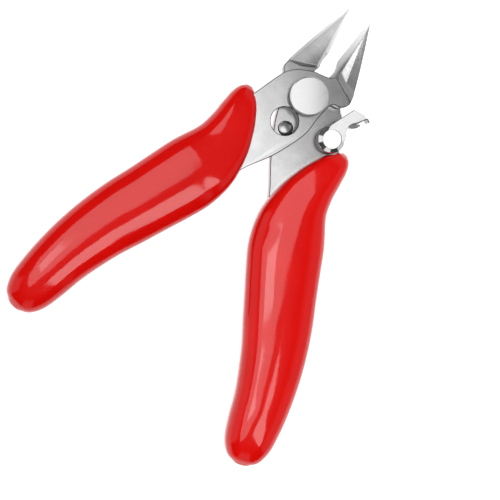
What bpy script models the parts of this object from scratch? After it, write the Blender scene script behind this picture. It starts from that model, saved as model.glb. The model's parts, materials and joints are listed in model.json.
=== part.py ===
"""Micro-shear diagonal cutting pliers, 91 mm long, with dipped grips and a lock catch.

Frame: the pivot axis is Z, the jaws point along +Y, and z = 0 is the plane that the closed back of the
pivot and both grips lie on. Each half is drawn as it stands with the jaws closed, cutting line along +Y,
under an empty that is turned by half of the opening angle. A lever's jaw is on one side of the cutting
line and its handle on the other, so both halves come from the same functions, mirrored by a sign.
"""

import math

import bmesh
import bpy
from mathutils import Matrix, Vector

MM = 0.001
WELD = 1e-6
PARTS = "micro_shear_pliers"
CUTTERS = "cutters"
FRONT = -1
REAR = 1

# Driving dimensions, in millimetres and degrees.
OPENING = 12.0
PLATE = 2.3
RUNNING_GAP = 0.1
GRIP_THICK = 9.0
MID_PLANE = GRIP_THICK / 2
REAR_PLATE_Z = (MID_PLANE - RUNNING_GAP / 2 - PLATE, MID_PLANE - RUNNING_GAP / 2)
FRONT_PLATE_Z = (MID_PLANE + RUNNING_GAP / 2, MID_PLANE + RUNNING_GAP / 2 + PLATE)
THROUGH_BOTH = (REAR_PLATE_Z[0] - 1, FRONT_PLATE_Z[1] + 1)
FIT = 0.05

HUB_R = 5.4
HEAD_R = 3.95
HEAD_TOP = FRONT_PLATE_Z[1] + 1.9
HEAD_CHAMFER = 0.15
BACK_CHAMFER = 0.3
SHANK_R = 2.0

WINDOW = Vector((-0.6, -6.77))
WINDOW_R = 2.87
STOP_PIN = Vector((-0.88, -7.34))
STOP_PIN_R = 1.4
STOP_PIN_TOP = 5.9
STOP_PIN_DOME = 0.4
STOP_PIN_RIM = 0.12

SPRING_R = 3.2
SPRING_WIRE_R = 0.28
SPRING_Z = 3.9
SPRING_START = 194.0
SPRING_TURN = 320.0
SPRING_LEG = 1.5
SPRING_BEND = 4.0
SPRING_RISES = (0.35, 1.2, 2.4)
SPRING_CLEAR = 0.3
POCKET_FLOOR = 3.3
POCKET_CLEAR = 0.55
POCKET_SLOT = (2.0, 1.2)

CATCH = Vector((8.15, -5.48))
CATCH_BOSS_R = 2.8
CATCH_TOP_R = 1.96
CATCH_FOOT = 4.9
CATCH_TOP = 8.3
CATCH_BEVEL = 0.66
CATCH_SHEET = 0.7
# The arm and its prongs lie this far below the boss, so that no two faces meet in one plane.
ARM_BELOW = 0.02
PRONG_BELOW = 0.05
CATCH_SOCKET = 1.2
CATCH_GRIP_GAP = 0.3
WASHER_INSET = 0.3
STUD_R = 1.1
STUD_HEAD_R = 2.2
STUD_HEAD = 0.8
STUD_GAP = 0.2

# Outlines about the catch's axis, and how far the bent prongs reach down.
CATCH_ARM = [(-1.55, 1.2), (-0.2, -0.3), (1.6, -0.5), (2.3, 1.3), (1.55, 3.0), (1.4, 4.1), (1.9, 4.9)]
CATCH_ARM += [(3.0, 7.7), (0.55, 7.5), (-1.7, 2.5)]
CATCH_HOOK = [(1.8, 5.5), (2.7, 5.4), (3.8, 7.1), (4.5, 6.7), (4.75, 7.1), (3.7, 7.85), (2.4, 7.5)]
CATCH_HOOK += [(2.2, 6.4)]
CATCH_PRONG = [(1.1, 4.5), (1.5, 3.9), (2.2, 4.0), (3.1, 4.7), (3.5, 5.6), (3.1, 5.7), (2.4, 5.1)]
CATCH_PRONG += [(1.5, 5.0)]
HOOK_DROP = 3.0
PRONG_DROP = 2.4

CUTTING_LINE = 0.65
CUTTING_GAP = 0.05
JAW_TIP = 21.3
JAW_TOP = 6.1
EDGE_LAND = 0.3

# The jaw's outer side and the throat behind its cutting edge, as width from the cutting line at each y.
JAW_BACK = [(7.05, 4.3), (6.75, 6.4), (6.2, 7.9), (4.75, 11.5), (2.87, 15.8), (1.1, 19.6), (0.3, JAW_TIP)]
JAW_THROAT = [(0.0, 10.7), (0.6, 9.5), (0.78, 8.2), (0.65, 7.0)]
# Ground faces of each jaw, as a point (width, y, z) and a normal, and the slope of its cutting bevel.
FRONT_JAW_FACES = [((0.0, 7.0, 6.1), (0, 0.182, 1)), ((3.7, 8.16, 5.89), (0.25, 0.255, 1))]
FRONT_BEVEL_RISE = 2.0
REAR_JAW_FACES = [((1.3, 8.4, 5.9), (0.3, 0.207, 1)), ((6.05, 6.76, 4.81), (1.0, 0.496, 1))]
REAR_BEVEL_RISE = 2.2
# Each jaw clears the other lever's hub behind a ramp, and the front one has a step sloping down to its faces.
# A ramp has a direction and distance from the pivot, a height there, and a tilt.
FRONT_UNDERSIDE = (70.0, 5.9, FRONT_PLATE_Z[0], -0.42)
FRONT_STEP = (69.3, 7.33, FRONT_PLATE_Z[1], 1.54)
REAR_RAMP = (93.0, 5.6, REAR_PLATE_Z[1], 0.74)
STEP_INSET = 0.03

# The rear lever's shoulder is ground down on one side of a line.
SHOULDER_STEP = Vector((9.15, 0.9))
SHOULDER_STEP_TURN = 18.0
SHOULDER_STEP_DEPTH = 0.7
SHOULDER_STEP_BOX = Vector((12, 12, 4))

# Handle stations, drawn on +X: x, y, half width, half thickness.
GRIP_STATIONS = [
    (10.45, -5.6, 0.9, 1.5),
    (10.3, -6.5, 1.9, 2.9),
    (9.9, -8.2, 2.85, 3.8),
    (9.1, -10.8, 3.8, 4.3),
    (8.2, -14.2, 4.75, 4.5),
    (7.65, -18.2, 5.85, 4.5),
    (7.85, -22.5, 7.05, 4.5),
    (8.8, -26.8, 7.6, 4.5),
    (10.3, -31.2, 7.5, 4.5),
    (12.1, -36.0, 7.25, 4.5),
    (14.0, -41.0, 7.05, 4.5),
    (15.75, -46.0, 6.65, 4.5),
    (17.1, -51.0, 6.25, 4.5),
    (18.1, -56.0, 5.8, 4.5),
    (18.7, -61.0, 5.4, 4.5),
    (19.15, -65.0, 4.75, 4.2),
    (19.5, -67.8, 3.4, 3.2),
    (19.7, -69.3, 1.3, 1.4),
]
GRIP_POINTS = 24
GRIP_POWER = 2.4
# Along its mouth the grip's inner side is squarer, down to where the steel is wholly inside.
MOUTH_POWER = 4.0
MOUTH_Y = (-26.0, -18.0)
GRIP_WALL = 1.5
SLOT_GAP = 0.25
TANG_STATIONS = slice(8, 16)
# The catch's handle is a little larger and further out, and its nose reaches outward.
REAR_GRIP_SCALE = 1.03
REAR_GRIP_SHIFT = Vector((0.9, -1.0))
REAR_NOSE_OUT = 0.85
REAR_NOSE_Y = (-22.0, -6.8)

# Each lever's edges where it enters its grip, drawn on +X: the outer edge going in, the inner one coming out.
FRONT_OUTER_EDGE = [(7.9, -2.5), (9.0, -6.5), (10.4, -9.6), (11.5, -13.5), (12.4, -18.5), (13.6, -24.0)]
FRONT_INNER_EDGE = [(2.6, -25.2), (1.2, -19.7), (-1.6, -14.3), (-3.3, -9.9), (-4.35, -6.0), (-4.35, -1.2)]
REAR_OUTER_EDGE = [(9.4, -1.6), (10.4, -4.0), (11.3, -6.6), (12.1, -10.0), (12.8, -13.5), (13.7, -18.5)]
REAR_OUTER_EDGE += [(14.8, -24.5)]
REAR_INNER_EDGE = [(3.4, -25.8), (2.2, -21.0), (-0.8, -14.3), (-2.8, -9.0), (-3.9, -5.0), (-4.2, -1.2)]

# The levers' outlines round the hub, each on its own side.
FRONT_HUB_START = Vector((2.2, 6.95))
FRONT_NOTCH = Vector((1.55, 6.2))
FRONT_SHOULDER = [(-3.1, 4.42), (-4.75, 3.4), (-6.2, 1.9), (-6.95, 0.6), (-7.9, -2.5)]
FRONT_LOBE = [(4.4, -0.2), (4.6, 1.2), (5.1, 2.25), (6.3, 2.6), (7.1, 3.1), (7.6, 4.1), (7.3, 4.95)]
REAR_HUB_START = Vector((-0.15, 7.4))
REAR_SHOULDER = [(5.3, 3.0), (7.4, 1.9), (8.3, 0.6)]
REAR_LOBE = [(-4.3, -0.2), (-4.4, 1.2), (-4.9, 2.2), (-5.8, 2.5), (-6.4, 3.0), (-6.8, 4.0), (-6.35, 5.8)]

# Materials: name, colour, roughness, metallic.
SATIN_STEEL = ("satin_steel", (0.62, 0.62, 0.62), 0.32, 1.0)
BRIGHT_STEEL = ("bright_steel", (0.86, 0.86, 0.86), 0.16, 1.0)
CHROME = ("chrome", (0.9, 0.9, 0.9), 0.06, 1.0)
SPRING_STEEL = ("spring_steel", (0.45, 0.45, 0.46), 0.35, 1.0)
RED_PVC = ("red_pvc", (0.62, 0.008, 0.006), 0.22, 0.0)


def clear_scene():
    for old in list(bpy.data.objects):
        bpy.data.objects.remove(old, do_unlink=True)


def collection(name):
    found = bpy.data.collections.get(name)
    if not found:
        found = bpy.data.collections.new(name)
        bpy.context.scene.collection.children.link(found)
    return found


def material(spec):
    name, colour, roughness, metallic = spec
    found = bpy.data.materials.get(name)
    if found:
        return found
    made = bpy.data.materials.new(name)
    made.use_nodes = True
    shader = made.node_tree.nodes["Principled BSDF"]
    shader.inputs["Base Color"].default_value = (*colour, 1.0)
    shader.inputs["Roughness"].default_value = roughness
    shader.inputs["Metallic"].default_value = metallic
    made.diffuse_color = (*colour, 1.0)
    return made


def add_empty(name, parent, place, turn):
    """An axis that pieces hang on, turned about Z by this angle in degrees."""
    empty = bpy.data.objects.new(name, None)
    collection(PARTS).objects.link(empty)
    empty.parent = parent
    empty.location = (place.x * MM, place.y * MM, 0)
    empty.rotation_euler.z = math.radians(turn)
    return empty


def add_part(name, mesh, spec, parent, place=Vector((0, 0))):
    part = bpy.data.objects.new(name, mesh)
    collection(PARTS).objects.link(part)
    part.parent = parent
    part.location = (place.x * MM, place.y * MM, 0)
    mesh.materials.append(material(spec))
    mesh.shade_smooth()
    mesh.set_sharp_from_angle(angle=math.radians(30))
    return part


def combine(part, operation, name, mesh, place=Vector((0, 0)), turn=0.0):
    """Joins this mesh to a part, or cuts it away, with a Boolean in the part's own frame."""
    other = bpy.data.objects.new(name, mesh)
    collection(CUTTERS).objects.link(other)
    other.parent = part.parent
    other.location = (place.x * MM, place.y * MM, 0)
    other.rotation_euler.z = math.radians(turn)
    other.hide_render = True
    other.display_type = "WIRE"
    step = part.modifiers.new(name, "BOOLEAN")
    step.object = other
    step.operation = operation
    step.solver = "EXACT"


def clean_mesh(name, bm):
    bmesh.ops.remove_doubles(bm, verts=bm.verts, dist=WELD)
    bmesh.ops.recalc_face_normals(bm, faces=bm.faces)
    mesh = bpy.data.meshes.new(name)
    bm.to_mesh(mesh)
    bm.free()
    return mesh


def evaluated_mesh(name, data, modifier=None, steps=0):
    """The closed mesh that Blender makes of a curve, or of a profile with a Screw modifier."""
    helper = bpy.data.objects.new(name, data)
    bpy.context.scene.collection.objects.link(helper)
    if modifier:
        turn = helper.modifiers.new(name, modifier)
        turn.steps = turn.render_steps = steps
    graph = bpy.context.evaluated_depsgraph_get()
    bm = bmesh.new()
    bm.from_mesh(helper.evaluated_get(graph).to_mesh())
    bmesh.ops.scale(bm, vec=(MM, MM, MM), verts=bm.verts)
    bpy.data.objects.remove(helper)
    return clean_mesh(name, bm)


def plate(name, outline, low, high):
    """A flat plate with this outline, from z = low to z = high."""
    curve = bpy.data.curves.new(name, "CURVE")
    curve.dimensions = "2D"
    curve.fill_mode = "BOTH"
    curve.extrude = (high - low) / 2
    spline = curve.splines.new("POLY")
    spline.points.add(len(outline) - 1)
    for point, (x, y) in zip(spline.points, outline):
        point.co = (x, y, 0, 1)
    spline.use_cyclic_u = True
    mesh = evaluated_mesh(name, curve)
    mesh.transform(Matrix.Translation((0, 0, (low + high) / 2 * MM)))
    return mesh


def turned(name, profile, ring=False, steps=48):
    """A solid of revolution about Z from its (radius, z) profile, given from the bottom up its outer side."""
    points = [(radius, 0, z) for radius, z in reversed(profile)]
    edges = [(i, i + 1) for i in range(len(points) - 1)]
    if ring:
        edges.append((len(points) - 1, 0))
    mesh = bpy.data.meshes.new(f"{name}_profile")
    mesh.from_pydata(points, edges, [])
    return evaluated_mesh(name, mesh, "SCREW", steps)


def tube(name, inner, outer, low, high):
    return turned(name, [(inner, low), (outer, low), (outer, high), (inner, high)], ring=True)


def cylinder(name, radius, low, high):
    bm = bmesh.new()
    bmesh.ops.create_cone(
        bm, cap_ends=True, segments=48, radius1=radius * MM, radius2=radius * MM, depth=(high - low) * MM
    )
    bmesh.ops.translate(bm, verts=bm.verts, vec=(0, 0, (low + high) / 2 * MM))
    return clean_mesh(name, bm)


def box(name, size, middle):
    bm = bmesh.new()
    bmesh.ops.create_cube(bm, size=1)
    bmesh.ops.scale(bm, vec=size * MM, verts=bm.verts)
    bmesh.ops.translate(bm, vec=middle * MM, verts=bm.verts)
    return clean_mesh(name, bm)


def smooth_through(points, steps):
    """Points along a Catmull-Rom curve through these, ends included."""
    ends = [points[0] * 2 - points[1], *points, points[-1] * 2 - points[-2]]
    found = []
    for a, b, c, d in zip(ends, ends[1:], ends[2:], ends[3:]):
        for i in range(steps):
            t = i / steps
            bend = (c - a) * t + (a * 2 - b * 5 + c * 4 - d) * t**2 + (b * 3 - a - c * 3 + d) * t**3
            found.append(b + bend / 2)
    return [*found, points[-1]]


def polar(radius, degrees):
    angle = math.radians(degrees)
    return Vector((radius * math.cos(angle), radius * math.sin(angle)))


def arc(radius, start, end, steps):
    """Points on an arc about the pivot, from the start angle to the end angle in degrees."""
    return [polar(radius, start + (end - start) * i / steps) for i in range(steps + 1)]


def vectors(points, side=1):
    """These points as vectors, mirrored onto a side."""
    return [Vector((side * x, y)) for x, y in points]


def anticlockwise(outline):
    area = sum(a.x * b.y - b.x * a.y for a, b in zip(outline, outline[1:] + outline[:1]))
    return outline if area > 0 else outline[::-1]


def widened(outline, gap):
    """The outline, anticlockwise, moved outward by the gap."""
    found = []
    for before, here, after in zip(outline[-1:] + outline[:-1], outline, outline[1:] + outline[:1]):
        entering = (here - before).normalized()
        leaving = (after - here).normalized()
        outward = Vector((entering.y + leaving.y, -entering.x - leaving.x)).normalized()
        stretch = max(outward.dot(Vector((entering.y, -entering.x))), 0.5)
        found.append(here + outward * gap / stretch)
    return found


def rise(value, low, high):
    """0 below low, 1 above high, and straight between."""
    return min(max((value - low) / (high - low), 0.0), 1.0)


def grip_stations(side):
    """Centre, outward direction, half width and half thickness at each station of a grip."""
    rows = []
    for x, y, half_width, half_thick in GRIP_STATIONS:
        centre = Vector((x, y))
        if side == REAR:
            centre = centre * REAR_GRIP_SCALE + REAR_GRIP_SHIFT
            centre.x += REAR_NOSE_OUT * rise(centre.y, *REAR_NOSE_Y) ** 2
            half_width *= REAR_GRIP_SCALE
        rows.append((Vector((side * centre.x, centre.y)), half_width, half_thick))
    found = []
    for before, row, after in zip(rows[:1] + rows[:-1], rows, rows[1:] + rows[-1:]):
        along = (after[0] - before[0]).normalized()
        found.append((row[0], Vector((-along.y, along.x)) * side, *row[1:]))
    return found


def handle_edges(side):
    """A lever's outer and inner handle edges, from the hub's end of one to the hub's end of the other."""
    outer = vectors(FRONT_OUTER_EDGE if side == FRONT else REAR_OUTER_EDGE, side)
    inner = vectors(FRONT_INNER_EDGE if side == FRONT else REAR_INNER_EDGE, side)
    inside = grip_stations(side)[TANG_STATIONS]
    tang_outer = [centre + away * (half_width - GRIP_WALL) for centre, away, half_width, _ in inside]
    tang_inner = [centre - away * (half_width - GRIP_WALL) for centre, away, half_width, _ in inside]
    return smooth_through([*outer, *tang_outer], 2), smooth_through([*tang_inner[::-1], *inner], 3)


def front_outline():
    """Front lever without its jaw: hub, window plate and tang."""
    outer, inner = handle_edges(FRONT)
    hub = [FRONT_HUB_START, FRONT_NOTCH, *arc(HUB_R, 76, 125, 8)]
    shoulder = smooth_through(vectors(FRONT_SHOULDER), 2)[1:-1]
    return [*hub, *shoulder, *outer, *inner, *smooth_through(vectors(FRONT_LOBE), 3)]


def rear_outline():
    """Rear lever without its jaw, likewise. Its outer edge carries the catch."""
    outer, inner = handle_edges(REAR)
    hub = [REAR_HUB_START, *arc(HUB_R, 100, 50, 8)]
    return [*hub, *vectors(REAR_SHOULDER), *outer, *inner, *smooth_through(vectors(REAR_LOBE), 3)]


def cut_flat(bm, point, normal):
    """Removes what lies beyond a plane and closes the cut."""
    everything = [*bm.verts, *bm.edges, *bm.faces]
    place = Vector(point) * MM
    bmesh.ops.bisect_plane(
        bm, geom=everything, plane_co=place, plane_no=Vector(normal), clear_outer=True, dist=WELD / 10
    )
    rims = [edge for edge in bm.edges if len(edge.link_faces) == 1]
    bmesh.ops.holes_fill(bm, edges=rims, sides=0)


def on_jaw(side, face):
    """A jaw's ground face as a plane, from its point by width and its normal toward the jaw's outer side."""
    (width, y, z), (outward, along, up) = face
    return (CUTTING_LINE - side * width, y, z), (-side * outward, along, up)


def across_base(ramp, facing):
    """A ramp as a plane that faces the tip or, with -1, the pivot."""
    degrees, reach, z, tilt = ramp
    toward_tip = polar(1.0, degrees)
    return (*(toward_tip * reach), z), (*(toward_tip * facing), tilt)


def jaw(name, side, top, bevel_rise, planes, inset=0.0):
    """One ground jaw block, on the side of the cutting line away from its handle."""
    out = -side
    edge_x = CUTTING_LINE + out * (CUTTING_GAP + inset)
    sides = [(width - 2 * inset, y) for width, y in JAW_BACK]
    outline = [(edge_x + out * width, y) for width, y in [*sides, (0.0, JAW_TIP), *JAW_THROAT]]
    base = REAR_PLATE_Z[0] + inset
    bm = bmesh.new()
    bm.from_mesh(plate(name, outline, base, top))
    bevel = (edge_x, 0, REAR_PLATE_Z[0] + EDGE_LAND), (-out * bevel_rise, 0, 1)
    for point, normal in [bevel, *planes]:
        cut_flat(bm, point, normal)
    return clean_mesh(name, bm)


def bore(lever, name, radius, place):
    """Cuts a round hole through a lever."""
    combine(lever, "DIFFERENCE", name, cylinder(name, radius, *THROUGH_BOTH), place)


def make_front_lever(half):
    mesh = plate("front_lever", front_outline(), *FRONT_PLATE_Z)
    lever = add_part("front_lever", mesh, SATIN_STEEL, half)
    underside = across_base(FRONT_UNDERSIDE, -1)
    faces = [on_jaw(FRONT, face) for face in FRONT_JAW_FACES]
    front_jaw = jaw("front_jaw", FRONT, JAW_TOP, FRONT_BEVEL_RISE, [*faces, underside])
    combine(lever, "UNION", "front_jaw", front_jaw)
    degrees, reach, *rest = FRONT_UNDERSIDE
    planes = [across_base((degrees, reach + STEP_INSET, *rest), -1), across_base(FRONT_STEP, 1)]
    step = jaw("front_step", FRONT, FRONT_PLATE_Z[1] - STEP_INSET, FRONT_BEVEL_RISE, planes, STEP_INSET)
    combine(lever, "UNION", "front_step", step)
    bore(lever, "front_pivot_hole", SHANK_R + FIT, Vector((0, 0)))
    bore(lever, "window", WINDOW_R, WINDOW)
    leg_angle = SPRING_START + SPRING_TURN + OPENING
    bore(lever, "spring_leg_hole", SPRING_WIRE_R + SPRING_CLEAR, polar(SPRING_R, leg_angle))


def make_rear_lever(half):
    mesh = plate("rear_lever", rear_outline(), *REAR_PLATE_Z)
    lever = add_part("rear_lever", mesh, SATIN_STEEL, half)
    planes = [*[on_jaw(REAR, face) for face in REAR_JAW_FACES], across_base(REAR_RAMP, -1)]
    combine(lever, "UNION", "rear_jaw", jaw("rear_jaw", REAR, JAW_TOP, REAR_BEVEL_RISE, planes))
    bore(lever, "rear_pivot_hole", SHANK_R + FIT, Vector((0, 0)))
    bore(lever, "stop_pin_hole", STOP_PIN_R + FIT, STOP_PIN)
    bore(lever, "stud_hole", STUD_R + FIT, CATCH)

    top = REAR_PLATE_Z[1] + 1
    pocket = tube("spring_pocket", SPRING_R - POCKET_CLEAR, SPRING_R + POCKET_CLEAR, POCKET_FLOOR, top)
    combine(lever, "DIFFERENCE", "spring_pocket", pocket)
    length, width = POCKET_SLOT
    size = Vector((length, width, top - POCKET_FLOOR))
    slot = box("spring_slot", size, Vector((SPRING_R + length / 2, 0, (POCKET_FLOOR + top) / 2)))
    combine(lever, "DIFFERENCE", "spring_slot", slot, turn=SPRING_START)

    size = SHOULDER_STEP_BOX
    middle = Vector((0, size.y / 2, REAR_PLATE_Z[1] - SHOULDER_STEP_DEPTH + size.z / 2))
    step = box("shoulder_step", size, middle)
    combine(lever, "DIFFERENCE", "shoulder_step", step, SHOULDER_STEP, SHOULDER_STEP_TURN)


def make_pivot(half):
    under_head = FRONT_PLATE_Z[1] + RUNNING_GAP
    rivet = [(0, 0), (SHANK_R, 0), (SHANK_R, under_head), (HEAD_R, under_head)]
    rivet += [(HEAD_R, HEAD_TOP - HEAD_CHAMFER), (HEAD_R - HEAD_CHAMFER, HEAD_TOP), (0, HEAD_TOP)]
    add_part("pivot_rivet", turned("pivot_rivet", rivet), BRIGHT_STEEL, half)
    top = REAR_PLATE_Z[0] - RUNNING_GAP
    hole = SHANK_R + FIT
    collar = [(hole, 0), (HEAD_R - BACK_CHAMFER, 0), (HEAD_R, BACK_CHAMFER), (HEAD_R, top), (hole, top)]
    add_part("pivot_collar", turned("pivot_collar", collar, ring=True), BRIGHT_STEEL, half)


def make_stop_pin(half):
    low = REAR_PLATE_Z[0] + RUNNING_GAP
    flat = STOP_PIN_R - STOP_PIN_RIM
    shoulder = STOP_PIN_TOP - STOP_PIN_DOME
    crown = STOP_PIN_DOME - STOP_PIN_RIM
    dome = [(flat * part, STOP_PIN_TOP - crown * part**2) for part in (1.0, 0.75, 0.5, 0.25, 0.0)]
    pin = [(0, low), (STOP_PIN_R, low), (STOP_PIN_R, shoulder), *dome]
    add_part("stop_pin", turned("stop_pin", pin, steps=32), BRIGHT_STEEL, half, STOP_PIN)


def make_spring(half):
    """Flat torsion spring round the pivot: one leg in the rear lever's slot, one up into the front lever."""
    coil = arc(SPRING_R, SPRING_START + SPRING_BEND, SPRING_START + SPRING_TURN, 40)
    outer_leg = [polar(SPRING_R + SPRING_LEG * part, SPRING_START) for part in (1.0, 0.4)]
    flat = [*outer_leg, *coil]
    route = [(*point, SPRING_Z) for point in flat]
    route += [(*coil[-1], SPRING_Z + climb) for climb in SPRING_RISES]
    curve = bpy.data.curves.new("return_spring", "CURVE")
    curve.dimensions = "3D"
    curve.bevel_depth = SPRING_WIRE_R * MM
    curve.bevel_resolution = 2
    curve.use_fill_caps = True
    spline = curve.splines.new("POLY")
    spline.points.add(len(route) - 1)
    for point, (x, y, z) in zip(spline.points, route):
        point.co = (x * MM, y * MM, z * MM, 1)
    spring = bpy.data.objects.new("return_spring", curve)
    collection(PARTS).objects.link(spring)
    spring.parent = half
    curve.materials.append(material(SPRING_STEEL))


def grip_section(centre, away, half_width, half_thick):
    """Points round a grip, across the handle at a station. Its inner side is squarer at the mouth."""
    found = []
    mouth = rise(centre.y, *MOUTH_Y)
    for i in range(GRIP_POINTS):
        angle = 2 * math.pi * (i + 0.5) / GRIP_POINTS
        c, s = math.cos(angle), math.sin(angle)
        power = GRIP_POWER + (MOUTH_POWER - GRIP_POWER) * mouth * (c < 0)
        across = math.copysign(abs(c) ** (2 / power), c) * half_width
        up = math.copysign(abs(s) ** (2 / power), s) * half_thick
        found.append(Vector((*(centre + away * across), MID_PLANE + up)) * MM)
    return found


def make_grip(name, half, side):
    """A loft through the grip's sections, with the slot that its lever fills."""
    bm = bmesh.new()
    rings = [[bm.verts.new(point) for point in grip_section(*station)] for station in grip_stations(side)]
    bm.faces.new(rings[0])
    bm.faces.new(rings[-1][::-1])
    for one, other in zip(rings, rings[1:]):
        for i in range(GRIP_POINTS):
            k = (i + 1) % GRIP_POINTS
            bm.faces.new((one[i], one[k], other[k], other[i]))
    grip = add_part(name, clean_mesh(name, bm), RED_PVC, half)
    outer, inner = handle_edges(side)
    low, high = FRONT_PLATE_Z if side == FRONT else REAR_PLATE_Z
    outline = widened(anticlockwise([*outer, *inner]), SLOT_GAP)
    slot = plate(f"{name}_slot", outline, low - SLOT_GAP, high + SLOT_GAP)
    combine(grip, "DIFFERENCE", f"{name}_slot", slot)
    return grip


def make_catch(axis):
    hole = STUD_R + FIT
    socket = CATCH_TOP - CATCH_SOCKET
    boss = [(hole, CATCH_FOOT), (CATCH_BOSS_R, CATCH_FOOT), (CATCH_BOSS_R, CATCH_TOP - CATCH_BEVEL)]
    boss += [(CATCH_TOP_R, CATCH_TOP), (0, CATCH_TOP), (0, socket), (hole, socket)]
    catch = add_part("catch_lever", turned("catch_lever", boss, ring=True), CHROME, axis)
    arm = plate("catch_arm", CATCH_ARM, CATCH_TOP - CATCH_SHEET, CATCH_TOP - ARM_BELOW)
    combine(catch, "UNION", "catch_arm", arm)
    # Two prongs bent down from the arm's edge: the hook at its end and the short one behind it.
    hook = plate("catch_hook", CATCH_HOOK, CATCH_TOP - HOOK_DROP, CATCH_TOP - PRONG_BELOW)
    combine(catch, "UNION", "catch_hook", hook)
    prong = plate("catch_prong", CATCH_PRONG, CATCH_TOP - PRONG_DROP, CATCH_TOP - PRONG_BELOW)
    combine(catch, "UNION", "catch_prong", prong)


def make_catch_stud(half):
    """The stud that the catch turns on, riveted over at the back, and the washer under the catch."""
    outer = CATCH_BOSS_R - WASHER_INSET
    washer = tube("catch_washer", STUD_R + FIT, outer, REAR_PLATE_Z[1] + FIT, CATCH_FOOT - FIT)
    add_part("catch_washer", washer, SPRING_STEEL, half, CATCH)
    under = REAR_PLATE_Z[0] - FIT
    stud = [(0, under - STUD_HEAD), (STUD_HEAD_R - BACK_CHAMFER, under - STUD_HEAD)]
    stud += [(STUD_HEAD_R, under - STUD_HEAD + BACK_CHAMFER), (STUD_HEAD_R, under), (STUD_R, under)]
    top = CATCH_TOP - CATCH_SOCKET - STUD_GAP
    stud += [(STUD_R, top), (0, top)]
    add_part("catch_stud", turned("catch_stud", stud, steps=32), BRIGHT_STEEL, half, CATCH)


def main():
    clear_scene()
    front_half = add_empty("front_half", None, Vector((0, 0)), FRONT * OPENING / 2)
    rear_half = add_empty("rear_half", None, Vector((0, 0)), REAR * OPENING / 2)
    catch_axis = add_empty("catch_axis", rear_half, CATCH, -REAR * OPENING / 2)
    make_front_lever(front_half)
    make_grip("left_grip", front_half, FRONT)
    make_rear_lever(rear_half)
    right_grip = make_grip("right_grip", rear_half, REAR)
    clearance = cylinder("catch_clearance", CATCH_BOSS_R + CATCH_GRIP_GAP, REAR_PLATE_Z[1], CATCH_TOP + 1)
    combine(right_grip, "DIFFERENCE", "catch_clearance", clearance, CATCH)
    make_pivot(rear_half)
    make_stop_pin(rear_half)
    make_spring(rear_half)
    make_catch(catch_axis)
    make_catch_stud(rear_half)


main()
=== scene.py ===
"""The looks of the micro-shear pliers: fine steel blanks, dipped grips, polished catch, light and camera.

Shapes are drawn in millimetres and scaled when a piece is finished. Each half is drawn with the jaws
closed, cutting line along +Y, and is then turned open by half of the opening angle, as in the frame.
"""

import json
import math

import bmesh
import bpy
import numpy as np
from mathutils import Matrix, Vector, noise

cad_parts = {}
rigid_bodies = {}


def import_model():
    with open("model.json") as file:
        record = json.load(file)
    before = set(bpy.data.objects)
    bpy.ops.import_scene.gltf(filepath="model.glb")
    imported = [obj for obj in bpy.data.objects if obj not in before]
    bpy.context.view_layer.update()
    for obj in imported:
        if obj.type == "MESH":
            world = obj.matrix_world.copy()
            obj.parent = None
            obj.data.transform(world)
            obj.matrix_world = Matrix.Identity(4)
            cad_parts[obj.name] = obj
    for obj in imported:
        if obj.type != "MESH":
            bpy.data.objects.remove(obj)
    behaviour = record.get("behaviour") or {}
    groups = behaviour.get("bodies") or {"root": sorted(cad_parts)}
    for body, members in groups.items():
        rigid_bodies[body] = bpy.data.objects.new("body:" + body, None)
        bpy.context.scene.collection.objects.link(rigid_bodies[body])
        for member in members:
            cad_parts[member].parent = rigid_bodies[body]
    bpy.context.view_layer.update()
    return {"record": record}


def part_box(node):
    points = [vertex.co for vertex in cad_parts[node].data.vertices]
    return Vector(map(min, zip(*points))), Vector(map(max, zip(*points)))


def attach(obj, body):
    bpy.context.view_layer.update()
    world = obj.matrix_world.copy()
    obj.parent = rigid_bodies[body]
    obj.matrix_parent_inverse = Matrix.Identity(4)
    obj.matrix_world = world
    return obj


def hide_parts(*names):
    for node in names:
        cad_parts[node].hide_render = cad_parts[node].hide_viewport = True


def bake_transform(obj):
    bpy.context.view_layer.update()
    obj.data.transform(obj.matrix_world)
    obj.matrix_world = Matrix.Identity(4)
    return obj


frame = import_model()

MM = 0.001
WELD = 1e-4
FRONT = -1
REAR = 1

# Material numbers on a lever, and the two further ones on the catch.
FACE, RIM, GROUND, BORE, BLASTED = 0, 1, 2, 3, 4
BOSS_WALL, SHEET_TOP = 2, 3

JOINTS = {joint["name"]: joint for joint in frame["record"]["behaviour"]["joints"]}
OPENING = JOINTS["jaw_pivot"]["range_deg"][1]


def span(node, axis):
    """Lowest and highest coordinate of a CAD node along an axis, in millimetres."""
    low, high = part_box(node)
    return low[axis] / MM, high[axis] / MM


# Heights that the frame gives.
GRIP_Z = span("right_grip", 2)
MID_PLANE = (GRIP_Z[0] + GRIP_Z[1]) / 2
HEAD_TOP = span("pivot_rivet", 2)[1]
COLLAR_TOP = span("pivot_collar", 2)[1]
CATCH_TOP = span("catch_lever", 2)[1]
WASHER_Z = span("catch_washer", 2)
STUD_Z = span("catch_stud", 2)
PIN_Z = span("stop_pin", 2)

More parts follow.
